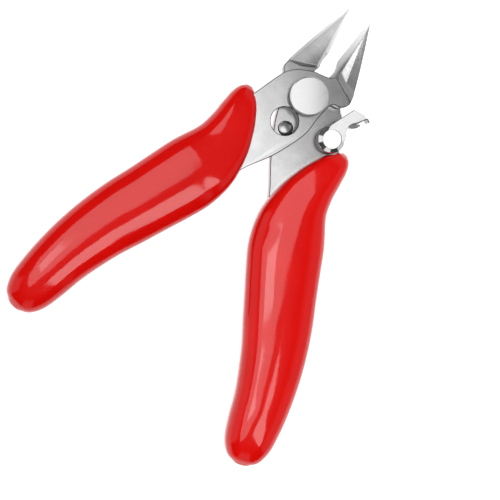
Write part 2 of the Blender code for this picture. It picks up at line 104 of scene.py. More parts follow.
# Sizes of the blanks and what turns on them, in millimetres and degrees.
PLATE = 2.3
RUNNING_GAP = 0.1
REAR_PLATE_Z = (MID_PLANE - RUNNING_GAP / 2 - PLATE, MID_PLANE - RUNNING_GAP / 2)
FRONT_PLATE_Z = (MID_PLANE + RUNNING_GAP / 2, MID_PLANE + RUNNING_GAP / 2 + PLATE)
EDGE_BREAK = 0.17
HOLE_BREAK = 0.14
FIT = 0.05
HUB_R = 5.4
HEAD_R = 3.95
HEAD_CROWN = 0.05
HEAD_RIM = 0.14
HEAD_CHAMFER = 0.16
HEAD_LOOK_DEPTH = 0.18
HEAD_CROWN_STEPS = (0.97, 0.9, 0.8, 0.65, 0.45, 0.2, 0)
COLLAR_CHAMFER = 0.3
SHANK_R = 2.0
WINDOW = Vector((-0.6, -6.77))
WINDOW_R = 2.87
STOP_PIN = Vector((-0.88, -7.34))
STOP_PIN_R = 1.4
PIN_CROWN = 0.36
PIN_SHOULDER = 0.05
PIN_RIM = 0.12
PIN_FOOT_CHAMFER = 0.1
PIN_CROWN_STEPS = (0.95, 0.85, 0.7, 0.55, 0.4, 0.25, 0.1, 0)
SPRING_R = 3.2
SPRING_WIRE_R = 0.28
SPRING_Z = 3.9
SPRING_START = 194.0
SPRING_TURN = 320.0
SPRING_COIL_STEPS = 72
SPRING_SIDES = 20
SPRING_FOOT = (1.5, 1.0, 0.6)
SPRING_LEG_PITCH = 0.2
SPRING_LEG_STEPS = 12
SPRING_LEG_CLEAR = 0.3
POCKET_FLOOR = 3.3
POCKET_CLEAR = 0.55
POCKET_SLOT = (2.0, 1.2)
PIN_FLARE = 0.08
LEG_FLARE = 0.05
CATCH = Vector((8.15, -5.48))
CATCH_BOSS_R = 2.8
CATCH_TOP_R = 1.96
CATCH_FOOT = 4.9
CATCH_SHEET = 0.7
CATCH_GRIP_GAP = 0.3
CATCH_SOCKET = 1.2
CATCH_CONE_DROP = 0.66
CATCH_CONE_LAND = 0.12
CATCH_FOOT_CHAMFER = 0.1
CATCH_ROUND = 0.12

# The prongs' lower and upper ends are depths below the catch's top.
ARM_BELOW = 0.02
ARM_CORNER = 0.35
HOOK_WIDTH = 0.34
HOOK_DEPTHS = (3.0, 0.06)
HOOK_EDGE = 0.07
PRONG_CORNER = 0.18
PRONG_DEPTHS = (2.4, 0.3)
PRONG_EDGE = 0.09

WASHER_INSET = 0.3
STUD_R = 1.1
STUD_HEAD_R = 2.2
STUD_CHAMFER = 0.3

CATCH_ARM = [(-1.75, 0.2), (-0.2, -0.9), (1.5, -0.9), (2.35, 1.2), (1.55, 3.0), (1.4, 4.1), (1.75, 4.75)]
CATCH_ARM += [(2.55, 5.6), (3.65, 7.25), (3.0, 7.7), (0.55, 7.5), (-1.9, 2.1)]
CATCH_HOOK = [(2.05, 5.0), (2.6, 5.6), (3.3, 6.75), (3.8, 7.35), (4.2, 7.25), (4.6, 6.95)]
CATCH_PRONG = [(1.1, 4.5), (1.5, 3.9), (2.2, 4.0), (3.1, 4.7), (3.5, 5.6), (3.1, 5.7), (2.4, 5.1), (1.5, 5.0)]

CUTTING_LINE = 0.65
CUTTING_GAP = 0.05
JAW_TIP = 21.3
EDGE_LAND = 0.3
JAW_EDGE_BREAK = 0.09
JAW_WALL_LEAN = 0.45
JAW_SHARP = 12
STEP_INSET = 0.04
STEP_EDGE_BREAK = 0.05
JAW_BACK = [(7.05, 4.3), (6.75, 6.4), (6.2, 7.9), (4.75, 11.5), (2.87, 15.8), (1.1, 19.6), (0.3, JAW_TIP)]
JAW_THROAT = [(0.0, 10.7), (0.3, 9.9), (0.6, 9.2), (0.78, 8.2), (0.65, 7.0)]

# Each jaw's height, its ground faces as width from the cutting line, y, z and normal, and the slope of
# the bevel along its cutting edge.
FRONT_JAW_TOP = 6.4
FRONT_JAW_FACES = [(0, 7.0, 6.1, (0, 0.182, 1)), (3.7, 8.16, 5.89, (0.25, 0.255, 1))]
FRONT_BEVEL_RISE = 2.0
REAR_JAW_TOP = 6.1
REAR_JAW_FACES = [(1.3, 8.4, 5.9, (0.3, 0.207, 1)), (6.05, 6.76, 4.81, (1.0, 0.496, 1))]
REAR_BEVEL_RISE = 2.2

# Planes across the base of a jaw: direction from the pivot in degrees, distance from it and tilt.
UNDERSIDE_TURN, UNDERSIDE_REACH, UNDERSIDE_TILT = 70, 5.9, -0.42
STEP_TURN, STEP_REACH, STEP_TILT = 69.3, 7.33, 1.54
CLIMB_TURN, CLIMB_REACH, CLIMB_TILT = 93, 5.6, 0.74

# Grip sections from nose to tail: centre x and y, half width and half thickness.
GRIP_STATIONS = [
    (10.45, -5.6, 0.9, 1.5),
    (10.3, -6.5, 1.9, 2.9),
    (9.9, -8.2, 2.85, 3.8),
    (9.1, -10.8, 3.8, 4.3),
    (8.2, -14.2, 4.75, 4.5),
    (7.65, -18.2, 5.85, 4.5),
    (7.85, -22.5, 7.05, 4.5),
    (8.8, -26.8, 7.6, 4.5),
    (10.3, -31.2, 7.5, 4.5),
    (12.1, -36.0, 7.25, 4.5),
    (14.0, -41.0, 7.05, 4.5),
    (15.75, -46.0, 6.65, 4.5),
    (17.1, -51.0, 6.25, 4.5),
    (18.1, -56.0, 5.8, 4.5),
    (18.7, -61.0, 5.4, 4.5),
    (19.15, -65.0, 4.75, 4.2),
    (19.5, -67.7, 3.4, 3.2),
    (19.68, -69.0, 1.5, 1.5),
]
GRIP_POINTS = 96
GRIP_STEPS = 8
GRIP_POWER = 2.4
MOUTH_POWER = 4.0
MOUTH_Y = (-26.0, -18.0)
GRIP_WALL = 1.5
GRIP_WAVE = 0.02
GRIP_WAVE_PITCH = 0.16
GRIP_CAP_ANGLES = (25, 50, 70, 84)
NOSE_CAP = 0.22
TAIL_CAP = 0.3
MOUTH_GAP = 0.1
SLOT_EDGE = 0.02
NOSE_SLOPE = 0.011
NOSE_SLOPE_Y = -23.7
TANG_STATIONS = slice(8, 16)
REAR_GRIP_SCALE = 1.03
REAR_GRIP_SHIFT = Vector((0.9, -1.0))
REAR_NOSE_OUT = 0.85
REAR_NOSE_Y = (-22.0, -6.8)

# Outlines of the blanks. Along a handle's edges x counts toward the half's own side, elsewhere toward +X.
HANDLE_STEPS = 8
FRONT_OUTER_EDGE = [(7.9, -2.5), (9.0, -6.5), (10.4, -9.6), (11.5, -13.5), (12.4, -18.5), (13.6, -24.0)]
FRONT_INNER_EDGE = [(2.6, -25.2), (1.2, -19.7), (-1.6, -14.3), (-3.3, -9.9), (-4.35, -6.0), (-4.35, -1.2)]
REAR_OUTER_EDGE = [(9.4, -1.6), (10.4, -4.0), (11.3, -6.6), (12.1, -10.0), (12.8, -13.5), (13.7, -18.5)]
REAR_OUTER_EDGE += [(14.8, -24.5)]
REAR_INNER_EDGE = [(3.4, -25.8), (2.2, -21.0), (-0.8, -14.3), (-2.8, -9.0), (-3.9, -5.0), (-4.2, -1.2)]
FRONT_SHOULDER = [(-3.1, 4.42), (-4.75, 3.4), (-6.2, 1.9), (-6.95, 0.6), (-7.9, -2.5)]
FRONT_LOBE = [(4.4, -0.2), (4.6, 1.2), (5.1, 2.25), (6.3, 2.6), (7.1, 3.1), (7.6, 4.1), (7.3, 4.95)]
FRONT_HUB_START = Vector((2.2, 6.95))
FRONT_WEB = [(1.1, 6.0), (0.8, 5.85), (-0.3, 5.5)]
FRONT_HUB_ARC = (98, 125, 24)
REAR_SHOULDER = [(5.3, 3.0), (7.4, 1.9), (8.3, 0.6)]
REAR_LOBE = [(-4.3, -0.2), (-4.4, 1.2), (-4.9, 2.2), (-5.8, 2.5), (-6.4, 3.0), (-6.8, 4.0), (-6.35, 5.8)]
REAR_HUB_START = Vector((-0.15, 7.4))
REAR_HUB_ARC = (100, 50, 32)
SHOULDER_STEP = Vector((9.15, 0.9))
SHOULDER_STEP_TURN = 18.0
SHOULDER_STEP_DEPTH = 0.7


# ---- shapes ----


def polar(radius, degrees):
    angle = math.radians(degrees)
    return Vector((radius * math.cos(angle), radius * math.sin(angle)))


def arc(radius, start, end, steps):
    return [polar(radius, start + (end - start) * i / steps) for i in range(steps + 1)]


def vectors(points, side=1):
    return [Vector((side * x, y)) for x, y in points]


def anticlockwise(outline):
    area = sum(a.x * b.y - b.x * a.y for a, b in zip(outline, outline[1:] + outline[:1]))
    return outline if area > 0 else outline[::-1]


def rise(value, low, high):
    """How far the value has come from low to high, from 0 to 1."""
    return min(max((value - low) / (high - low), 0.0), 1.0)


def smooth_through(points, steps):
    """Points along a Catmull-Rom curve through these, ends included."""
    ends = [points[0] * 2 - points[1], *points, points[-1] * 2 - points[-2]]
    found = []
    for a, b, c, d in zip(ends, ends[1:], ends[2:], ends[3:]):
        for i in range(steps):
            t = i / steps
            bend = (c - a) * t + (a * 2 - b * 5 + c * 4 - d) * t**2 + (b * 3 - a - c * 3 + d) * t**3
            found.append(b + bend / 2)
    return [*found, points[-1]]


def rounded(points, radius, closed=True, steps=4):
    """The outline with its corners rounded."""
    found = []
    count = len(points)
    for i, here in enumerate(points):
        if not closed and i in (0, count - 1):
            found.append(here)
            continue
        before = points[i - 1] - here
        after = points[(i + 1) % count] - here
        start = here + before * min(radius / before.length, 0.45)
        end = here + after * min(radius / after.length, 0.45)
        for k in range(steps + 1):
            t = k / steps
            found.append(start * (1 - t) ** 2 + here * 2 * t * (1 - t) + end * t**2)
    return found


def widened(outline, gap):
    """The outline, anticlockwise, moved outward by the gap."""
    found = []
    for before, here, after in zip(outline[-1:] + outline[:-1], outline, outline[1:] + outline[:1]):
        entering = (here - before).normalized()
        leaving = (after - here).normalized()
        outward = Vector((entering.y + leaving.y, -entering.x - leaving.x)).normalized()
        stretch = max(outward.dot(Vector((entering.y, -entering.x))), 0.5)
        found.append(here + outward * gap / stretch)
    return found


def strip(path, width):
    """The outline of a strip of this width along an open path."""
    sides = []
    for before, here, after in zip(path[:1] + path[:-1], path, path[1:] + path[-1:]):
        along = (after - before).normalized()
        sides.append((here, Vector((-along.y, along.x)) * width / 2))
    return [here + side for here, side in sides] + [here - side for here, side in sides[::-1]]


def mesh_of(bm):
    """The mesh of a finished bmesh, with close points merged and normals outward."""
    bmesh.ops.remove_doubles(bm, verts=bm.verts, dist=WELD)
    bmesh.ops.dissolve_degenerate(bm, edges=bm.edges, dist=WELD)
    bmesh.ops.recalc_face_normals(bm, faces=bm.faces)
    mesh = bpy.data.meshes.new("shape")
    bm.to_mesh(mesh)
    bm.free()
    return mesh


def join_rings(bm, one, other, look):
    """Faces between two rings with the same number of points."""
    for i in range(len(one)):
        k = (i + 1) % len(one)
        bm.faces.new((one[i], one[k], other[k], other[i])).material_index = look


def plate(outline, low, high, edge=EDGE_BREAK, rim=RIM, wall=GROUND):
    """A plate with rounded edges."""
    outline = anticlockwise(outline)
    steps = [(-edge, low), (-edge * 0.3, low + edge * 0.3), (0, low + edge)]
    steps += [(0, high - edge), (-edge * 0.3, high - edge * 0.3), (-edge, high)]
    bm = bmesh.new()
    rings = [[bm.verts.new((p.x, p.y, z)) for p in widened(outline, gap)] for gap, z in steps]
    # The rounded breaks take the rim look and the straight wall the wall look; on the levers the rim look is
    # painted shade.
    for i, (one, other) in enumerate(zip(rings, rings[1:])):
        join_rings(bm, one, other, wall if i == 2 else rim)
    bm.faces.new(rings[0][::-1])
    bm.faces.new(rings[-1])
    return mesh_of(bm)


def turned(profile, steps=96, ring=False, look=FACE):
    """A solid of revolution about Z from its (radius, z) profile."""
    bm = bmesh.new()
    corners = [bm.verts.new((radius, 0, z)) for radius, z in profile]
    edges = [bm.edges.new(pair) for pair in zip(corners, corners[1:])]
    if ring:
        edges.append(bm.edges.new((corners[-1], corners[0])))
    bmesh.ops.spin(
        bm, geom=[*corners, *edges], axis=(0, 0, 1), angle=2 * math.pi, steps=steps, use_merge=True
    )
    for face in bm.faces:
        face.material_index = look
    return mesh_of(bm)


def moved(mesh, place=(0, 0, 0), turn=0.0):
    mesh.transform(Matrix.Translation(Vector(place)) @ Matrix.Rotation(math.radians(turn), 4, "Z"))
    return mesh


def bore_cutter(radius, low, high, place, flare=HOLE_BREAK):
    """Cuts a round hole through a plate from low to high, with chamfered rims."""
    wide = radius + flare + 1
    profile = [(0, low - 1), (wide, low - 1), (radius, low + flare)]
    profile += [(radius, high - flare), (wide, high + 1), (0, high + 1)]
    # The hole's wall takes the bore look, which is painted shade.
    return moved(turned(profile, look=BORE), (*place, 0))


def box(size, middle, turn=0.0, place=(0, 0)):
    bm = bmesh.new()
    bmesh.ops.create_cube(bm, size=1)
    bmesh.ops.scale(bm, vec=size, verts=bm.verts)
    bmesh.ops.translate(bm, vec=middle, verts=bm.verts)
    return moved(mesh_of(bm), (*place, 0), turn)


def combined(mesh, operation, *others):
    """This mesh with others joined to it or cut from it. Material numbers are kept."""
    scene_objects = bpy.context.scene.collection.objects
    made = []
    for data in (mesh, *others):
        while len(data.materials) < len(LEVER_LOOKS):
            data.materials.append(LEVER_LOOKS[len(data.materials)])
        helper = bpy.data.objects.new("helper", data)
        scene_objects.link(helper)
        made.append(helper)
    for other in made[1:]:
        step = made[0].modifiers.new("step", "BOOLEAN")
        step.object = other
        step.operation = operation
        step.solver = "EXACT"
    graph = bpy.context.evaluated_depsgraph_get()
    result = bpy.data.meshes.new_from_object(made[0].evaluated_get(graph))
    for helper in made:
        bpy.data.objects.remove(helper)
    return result


def piece(name, mesh, looks, body, node, turn=0.0, place=(0, 0), sharp=16):
    """Finishes a mesh as a piece that stands for a CAD node and rides on its body."""
    moved(mesh, (*place, 0), turn)
    mesh.transform(Matrix.Scale(MM, 4))
    while len(mesh.materials) > len(looks):
        mesh.materials.pop()
    for i, look in enumerate(looks):
        if i < len(mesh.materials):
            mesh.materials[i] = look
        else:
            mesh.materials.append(look)
    mesh.shade_smooth()
    mesh.set_sharp_from_angle(angle=math.radians(sharp))
    obj = bpy.data.objects.new(name, mesh)
    bpy.context.scene.collection.objects.link(obj)
    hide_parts(node)
    if body:
        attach(obj, body)
    return obj


# ---- looks ----


def add(tree, kind, settings=None, **inputs):
    """A node with these settings and inputs; an input is a value or another node's output."""
    made = tree.nodes.new(kind)
    for name, value in (settings or {}).items():
        setattr(made, name, value)
    for name, value in inputs.items():
        socket = made.inputs[int(name[1:])] if name[0] == "_" else made.inputs[name.replace("_", " ")]
        if isinstance(value, bpy.types.NodeSocket):
            tree.links.new(value, socket)
        else:
            socket.default_value = value
    return made


def ramp(tree, factor, *stops):
    """A colour ramp; each stop is a position and a grey level or a colour."""
    made = add(tree, "ShaderNodeValToRGB", Fac=factor)
    elements = made.color_ramp.elements
    while len(elements) < len(stops):
        elements.new(1.0)
    for element, (position, colour) in zip(elements, stops):
        element.position = position
        element.color = (*colour, 1.0) if isinstance(colour, tuple) else (colour, colour, colour, 1.0)
    return made.outputs["Color"]


def in_millimetres(tree, stretch=(1, 1, 1), turn=0.0):
    """Object coordinates in millimetres, stretched and turned about Z."""
    coordinates = tree.nodes.new("ShaderNodeTexCoord").outputs["Object"]
    scale = [value / MM for value in stretch]
    rotation = (0, 0, math.radians(turn))
    first = add(tree, "ShaderNodeMapping", Vector=coordinates, Rotation=rotation)
    return add(tree, "ShaderNodeMapping", Vector=first.outputs["Vector"], Scale=scale).outputs["Vector"]


def new_look(name, **inputs):
    look = bpy.data.materials.new(name)
    look.use_nodes = True
    shader = look.node_tree.nodes["Principled BSDF"]
    for key, value in inputs.items():
        shader.inputs[key.replace("_", " ")].default_value = value
    return look, look.node_tree, shader


def mix(tree, factor, one, other, blend="MIX"):
    made = tree.nodes.new("ShaderNodeMix")
    made.data_type = "RGBA"
    made.blend_type = blend
    for socket, value in zip((made.inputs[0], made.inputs[6], made.inputs[7]), (factor, one, other)):
        if isinstance(value, bpy.types.NodeSocket):
            tree.links.new(value, socket)
        else:
            socket.default_value = value
    return made.outputs[2]


def steel(name, dark, light, roughness, grain=(1, 1, 1), bump=0.1, wear=0.12, painted_highlight=None):
    """Steel with a fine grain, which stretches into grinding lines, cloudy tone and brighter worn edges.

    The last argument paints a highlight and shade: a rise in tone along Y, with where it starts and ends, and
    the tone's factor at each.
    """
    look, tree, shader = new_look(name, Metallic=1.0)
    fine = add(tree, "ShaderNodeTexNoise", Vector=in_millimetres(tree, grain), Scale=7.0, Detail=4.0)
    clouds = add(tree, "ShaderNodeTexNoise", Vector=in_millimetres(tree), Scale=0.35, Detail=5.0)
    blotch = add(tree, "ShaderNodeTexNoise", Vector=in_millimetres(tree), Scale=2.2, Detail=6.0)
    tone = ramp(tree, fine.outputs["Fac"], (0.3, dark), (0.7, light))
    cloudy = ramp(tree, clouds.outputs["Fac"], (0.35, 0.9), (0.65, 1.0))
    tone = mix(tree, 1.0, tone, cloudy, "MULTIPLY")
    spots = ramp(tree, blotch.outputs["Fac"], (0.25, 0.88), (0.42, 1.0))
    tone = mix(tree, 1.0, tone, spots, "MULTIPLY")
    pointed = tree.nodes.new("ShaderNodeNewGeometry").outputs["Pointiness"]
    edges = ramp(tree, pointed, (0.52, 0.0), (0.6, wear))
    tone = mix(tree, 1.0, tone, edges, "ADD")
    # A painted highlight: the tone is scaled along Y.
    if painted_highlight:
        along = add(tree, "ShaderNodeSeparateXYZ", Vector=in_millimetres(tree)).outputs["Y"]
        start, end, low, high = painted_highlight
        shine = add(
            tree,
            "ShaderNodeMapRange",
            Value=along,
            From_Min=start,
            From_Max=end,
            To_Min=low,
            To_Max=high,
        )
        tone = mix(tree, 1.0, tone, shine.outputs["Result"], "MULTIPLY")
    tree.links.new(tone, shader.inputs["Base Color"])
    rough = add(
        tree,
        "ShaderNodeMapRange",
        Value=fine.outputs["Fac"],
        From_Min=0.25,
        From_Max=0.75,
        To_Min=roughness - 0.04,
        To_Max=roughness + 0.05,
    )
    tree.links.new(rough.outputs["Result"], shader.inputs["Roughness"])
    relief = add(tree, "ShaderNodeBump", Height=fine.outputs["Fac"], Strength=bump, Distance=0.02 * MM)
    tree.links.new(relief.outputs["Normal"], shader.inputs["Normal"])
    return look


def turned_steel(name, tone, roughness, centre=(0, 0)):
    """Bright steel with fine turning rings round a centre and a faintly cloudy tone."""
    look, tree, shader = new_look(name, Metallic=1.0)
    coordinates = tree.nodes.new("ShaderNodeTexCoord").outputs["Object"]
    middle = (centre[0] * MM, centre[1] * MM, 0)
    vector_math = "ShaderNodeVectorMath"
    local = add(tree, vector_math, {"operation": "SUBTRACT"}, _0=coordinates, _1=middle)
    flat = add(tree, vector_math, {"operation": "MULTIPLY"}, _0=local.outputs["Vector"], _1=(1, 1, 0))
    distance = add(tree, vector_math, {"operation": "LENGTH"}, _0=flat.outputs["Vector"])
    radial = add(tree, "ShaderNodeCombineXYZ", X=distance.outputs["Value"]).outputs["Vector"]
    rings = add(tree, "ShaderNodeTexNoise", Vector=radial, Scale=9.0 / MM, Detail=3.0)
    clouds = add(tree, "ShaderNodeTexNoise", Vector=in_millimetres(tree), Scale=0.9, Detail=5.0)
    colour = ramp(tree, rings.outputs["Fac"], (0.3, tone * 0.95), (0.7, tone))
    colour = mix(tree, 1.0, colour, ramp(tree, clouds.outputs["Fac"], (0.3, 0.93), (0.6, 1.0)), "MULTIPLY")
    tree.links.new(colour, shader.inputs["Base Color"])
    rough = add(
        tree,
        "ShaderNodeMapRange",
        Value=clouds.outputs["Fac"],
        From_Min=0.3,
        From_Max=0.7,
        To_Min=roughness - 0.02,
        To_Max=roughness + 0.04,
    )
    tree.links.new(rough.outputs["Result"], shader.inputs["Roughness"])
    relief = add(tree, "ShaderNodeBump", Height=rings.outputs["Fac"], Strength=0.12, Distance=0.01 * MM)
    tree.links.new(relief.outputs["Normal"], shader.inputs["Normal"])
    return look


def chrome(name, dark, light):
    """Polished plating with faint haze and hairline scratches."""
    look, tree, shader = new_look(name, Metallic=1.0)
    haze = add(tree, "ShaderNodeTexNoise", Vector=in_millimetres(tree), Scale=1.4, Detail=6.0)
    drawn_out = in_millimetres(tree, (9, 0.5, 1), 35)
    lines = add(tree, "ShaderNodeTexNoise", Vector=drawn_out, Scale=5.0, Detail=2.0)
    colour = ramp(tree, haze.outputs["Fac"], (0.3, dark), (0.6, light))
    tree.links.new(colour, shader.inputs["Base Color"])
    rough = ramp(tree, haze.outputs["Fac"], (0.3, 0.05), (0.75, 0.12))
    tree.links.new(rough, shader.inputs["Roughness"])
    relief = add(tree, "ShaderNodeBump", Height=lines.outputs["Fac"], Strength=0.03, Distance=0.01 * MM)
    tree.links.new(relief.outputs["Normal"], shader.inputs["Normal"])
    return look


def dipped_pvc():
    """Glossy dipped plastic: deep red with faint mottling, a soft orange peel and tiny dust marks."""
    look, tree, shader = new_look(
        "dipped_red_pvc",
        IOR=1.5,
        Specular_IOR_Level=0.03,
        Coat_Weight=1.0,
        Coat_Roughness=0.07,
        Coat_IOR=1.36,
    )
    clouds = add(tree, "ShaderNodeTexNoise", Vector=in_millimetres(tree), Scale=0.12, Detail=5.0)
    specks = add(tree, "ShaderNodeTexNoise", Vector=in_millimetres(tree), Scale=3.5, Detail=4.0)
    peel = add(tree, "ShaderNodeTexNoise", Vector=in_millimetres(tree), Scale=0.8, Detail=2.0)
    colour = ramp(tree, clouds.outputs["Fac"], (0.3, (0.5, 0.0014, 0.0006)), (0.7, (0.55, 0.0025, 0.0012)))
    shade = ramp(tree, specks.outputs["Fac"], (0.28, 0.9), (0.42, 1.0))
    tree.links.new(mix(tree, 1.0, colour, shade, "MULTIPLY"), shader.inputs["Base Color"])
    rough = ramp(tree, specks.outputs["Fac"], (0.3, 0.22), (0.7, 0.3))
    tree.links.new(rough, shader.inputs["Roughness"])
    relief = add(tree, "ShaderNodeBump", Height=peel.outputs["Fac"], Strength=0.04, Distance=0.1 * MM)
    fine = add(
        tree,
        "ShaderNodeBump",
        Height=specks.outputs["Fac"],
        Strength=0.03,
        Distance=0.02 * MM,
        Normal=relief.outputs["Normal"],
    )
    for socket in ("Normal", "Coat Normal"):
        tree.links.new(fine.outputs["Normal"], shader.inputs[socket])
    return look


SATIN = steel("satin_steel", 0.64, 0.7, 0.23)
# Near-black steel for the plates' rounded rim breaks, the jaws' outer walls and the catch boss's wall:
# painted shade.
EDGE_PAINTED_SHADE = steel("sheared_steel_painted_shade", 0.08, 0.13, 0.42, grain=(1, 1, 0.15), bump=0.25, wear=0.05)
# Painted highlight and shade: the ground steel is darker up to 8 mm along Y and brighter toward the jaw tips.
JAW_PAINTED_HIGHLIGHT = (8.0, 19.0, 0.84, 1.35)
GROUND_STEEL = steel("ground_steel", 0.44, 0.52, 0.24, grain=(0.25, 3, 1), bump=0.15, painted_highlight=JAW_PAINTED_HIGHLIGHT)
# Near-black steel for hole walls, the spring pocket and the rivet head's side wall: painted shade.
BORE_PAINTED_SHADE = steel("bored_steel_painted_shade", 0.02, 0.045, 0.4, wear=0.0)
BLASTED_STEEL = steel("blasted_steel", 0.5, 0.6, 0.6, bump=0.3)
LEVER_LOOKS = [SATIN, EDGE_PAINTED_SHADE, GROUND_STEEL, BORE_PAINTED_SHADE, BLASTED_STEEL]
SPRING_LOOK = steel("spring_steel", 0.4, 0.5, 0.32)
HEAD_LOOK = turned_steel("turned_bright_steel", 0.86, 0.2)
PIN_LOOK = turned_steel("pin_steel", 0.82, 0.28, centre=STOP_PIN)
CHROME = chrome("polished_chrome", 0.86, 0.94)
DULL_CHROME = chrome("barrel_plated_sheet", 0.7, 0.76)
# Darker plating for the catch arm's edges and underside, the hook and the prong: painted shade.
SHADED_CHROME = steel("plated_edges_painted_shade", 0.2, 0.34, 0.25, wear=0.2)
PVC = dipped_pvc()


# ---- levers ----


def grip_rows(side):
    """Centre x and y, half width and half thickness at each station, on the half's own side."""
    rows = []
    for x, y, half_width, half_thick in GRIP_STATIONS:
        centre = Vector((x, y))
        if side == REAR:
            centre = centre * REAR_GRIP_SCALE + REAR_GRIP_SHIFT
            centre.x += REAR_NOSE_OUT * rise(centre.y, *REAR_NOSE_Y) ** 2
            half_width *= REAR_GRIP_SCALE
        rows.append(np.array((side * centre.x, centre.y, half_width, half_thick)))
    return rows


def with_outward(rows, side):
    """Adds to each row the unit vector across the handle, away from the other handle."""
    found = []
    for before, row, after in zip(rows[:1] + rows[:-1], rows, rows[1:] + rows[-1:]):
        along = Vector(after[:2] - before[:2]).normalized()
        found.append((Vector(row[:2]), Vector((-along.y, along.x)) * side, row[2], row[3]))
    return found


def handle_edges(side):
    """A lever's outer and inner handle edges, from the hub's end of one to the hub's end of the other."""
    outer = vectors(FRONT_OUTER_EDGE if side == FRONT else REAR_OUTER_EDGE, side)
    inner = vectors(FRONT_INNER_EDGE if side == FRONT else REAR_INNER_EDGE, side)
    inside = with_outward(grip_rows(side), side)[TANG_STATIONS]
    tang_outer = [centre + away * (half_width - GRIP_WALL) for centre, away, half_width, _ in inside]
    tang_inner = [centre - away * (half_width - GRIP_WALL) for centre, away, half_width, _ in inside]
    outer = smooth_through([*outer, *tang_outer], HANDLE_STEPS)
    return outer, smooth_through([*tang_inner[::-1], *inner], HANDLE_STEPS)


def front_outline():
    outer, inner = handle_edges(FRONT)
    hub = [FRONT_HUB_START, *vectors(FRONT_WEB), *arc(HUB_R, *FRONT_HUB_ARC)]
    shoulder = smooth_through(vectors(FRONT_SHOULDER), HANDLE_STEPS)[1:-1]
    return [*hub, *shoulder, *outer, *inner, *smooth_through(vectors(FRONT_LOBE), HANDLE_STEPS)]


def rear_outline():
    outer, inner = handle_edges(REAR)
    hub = [REAR_HUB_START, *arc(HUB_R, *REAR_HUB_ARC)]
    lobe = smooth_through(vectors(REAR_LOBE), HANDLE_STEPS)
    return [*hub, *vectors(REAR_SHOULDER), *outer, *inner, *lobe]


def cut_flat(bm, point, normal):
    """Removes what lies beyond a plane and closes the cut."""
    everything = [*bm.verts, *bm.edges, *bm.faces]
    bmesh.ops.bisect_plane(bm, geom=everything, plane_co=point, plane_no=normal, clear_outer=True, dist=1e-5)
    rims = [edge for edge in bm.edges if len(edge.link_faces) == 1]
    bmesh.ops.holes_fill(bm, edges=rims, sides=0)


def across_base(degrees, reach, z, tilt, facing):
    """A plane across a jaw's base, at this height and distance from the pivot.

    It faces the tip where facing is 1 and the pivot where it is -1.
    """
    toward_tip = polar(1.0, degrees)
    return (*(toward_tip * reach), z), (*(toward_tip * facing), tilt)


def jaw(side, top, planes, bevel_rise, inset=0.0, edge_break=JAW_EDGE_BREAK):
    """One ground jaw block, on the side of the cutting line away from its handle."""
    out = -side
    edge_x = CUTTING_LINE + out * (CUTTING_GAP + inset)
    sides = [(width - 2 * inset, y) for width, y in JAW_BACK]
    corners = [*sides, (0.0, JAW_TIP), *JAW_THROAT]
    outline = [Vector((edge_x + out * width, y)) for width, y in corners]
    base = REAR_PLATE_Z[0] + inset
    bm = bmesh.new()
    low_face = bm.faces.new([bm.verts.new((*p, base)) for p in anticlockwise(outline)[::-1]])
    lifted = bmesh.ops.extrude_face_region(bm, geom=[low_face])["geom"]
    lifted = [item for item in lifted if isinstance(item, bmesh.types.BMVert)]
    bmesh.ops.translate(bm, verts=lifted, vec=(0, 0, top - base))
    bmesh.ops.recalc_face_normals(bm, faces=bm.faces)
    cut_flat(bm, (edge_x, 0, REAR_PLATE_Z[0] + EDGE_LAND), (-out * bevel_rise, 0, 1))
    for point, normal in planes:
        cut_flat(bm, point, normal)
    bmesh.ops.recalc_face_normals(bm, faces=bm.faces)
    sharp = [edge for edge in bm.edges if edge.calc_face_angle(0) > math.radians(JAW_SHARP)]
    bmesh.ops.bevel(
        bm, geom=sharp, offset=edge_break, offset_type="OFFSET", segments=2, profile=0.5, affect="EDGES"
    )
    bm.normal_update()
    # Outer walls take the rim look, which is painted shade; faces toward the pivot take the blasted look.
    for face in bm.faces:
        cutting_side = face.normal.x * out < -0.5
        outer_wall = abs(face.normal.z) < JAW_WALL_LEAN and not cutting_side
        faces_pivot = face.normal.y < -0.6 and 0.5 < face.normal.z < 0.7
        face.material_index = BLASTED if faces_pivot else RIM if outer_wall else GROUND
    return mesh_of(bm)


def on_jaw(side, width, y, z, normal):
    """A plane given by a point at a width from the cutting line, and a normal toward the jaw's own side."""
    out = -side
    return (CUTTING_LINE + out * width, y, z), (out * normal[0], *normal[1:])


def front_lever():
    mesh = plate(front_outline(), *FRONT_PLATE_Z)
    low, high = FRONT_PLATE_Z
    facets = [on_jaw(FRONT, *face) for face in FRONT_JAW_FACES]
    under = across_base(UNDERSIDE_TURN, UNDERSIDE_REACH, low, UNDERSIDE_TILT, -1)
    inner_under = across_base(UNDERSIDE_TURN, UNDERSIDE_REACH + STEP_INSET, low, UNDERSIDE_TILT, -1)
    step = across_base(STEP_TURN, STEP_REACH, high, STEP_TILT, 1)
    jaw_mesh = jaw(FRONT, FRONT_JAW_TOP, [*facets, under], FRONT_BEVEL_RISE)
    step_planes = [step, inner_under]
    step_mesh = jaw(FRONT, high - STEP_INSET, step_planes, FRONT_BEVEL_RISE, STEP_INSET, STEP_EDGE_BREAK)
    mesh = combined(mesh, "UNION", jaw_mesh, step_mesh)
    leg = polar(SPRING_R, SPRING_START + SPRING_TURN + OPENING)
    cutters = [
        bore_cutter(SHANK_R + FIT, low, high, (0, 0)),
        bore_cutter(WINDOW_R, low, high, WINDOW),
        bore_cutter(SPRING_WIRE_R + SPRING_LEG_CLEAR, low, high, leg, LEG_FLARE),
    ]
    return combined(mesh, "DIFFERENCE", *cutters)


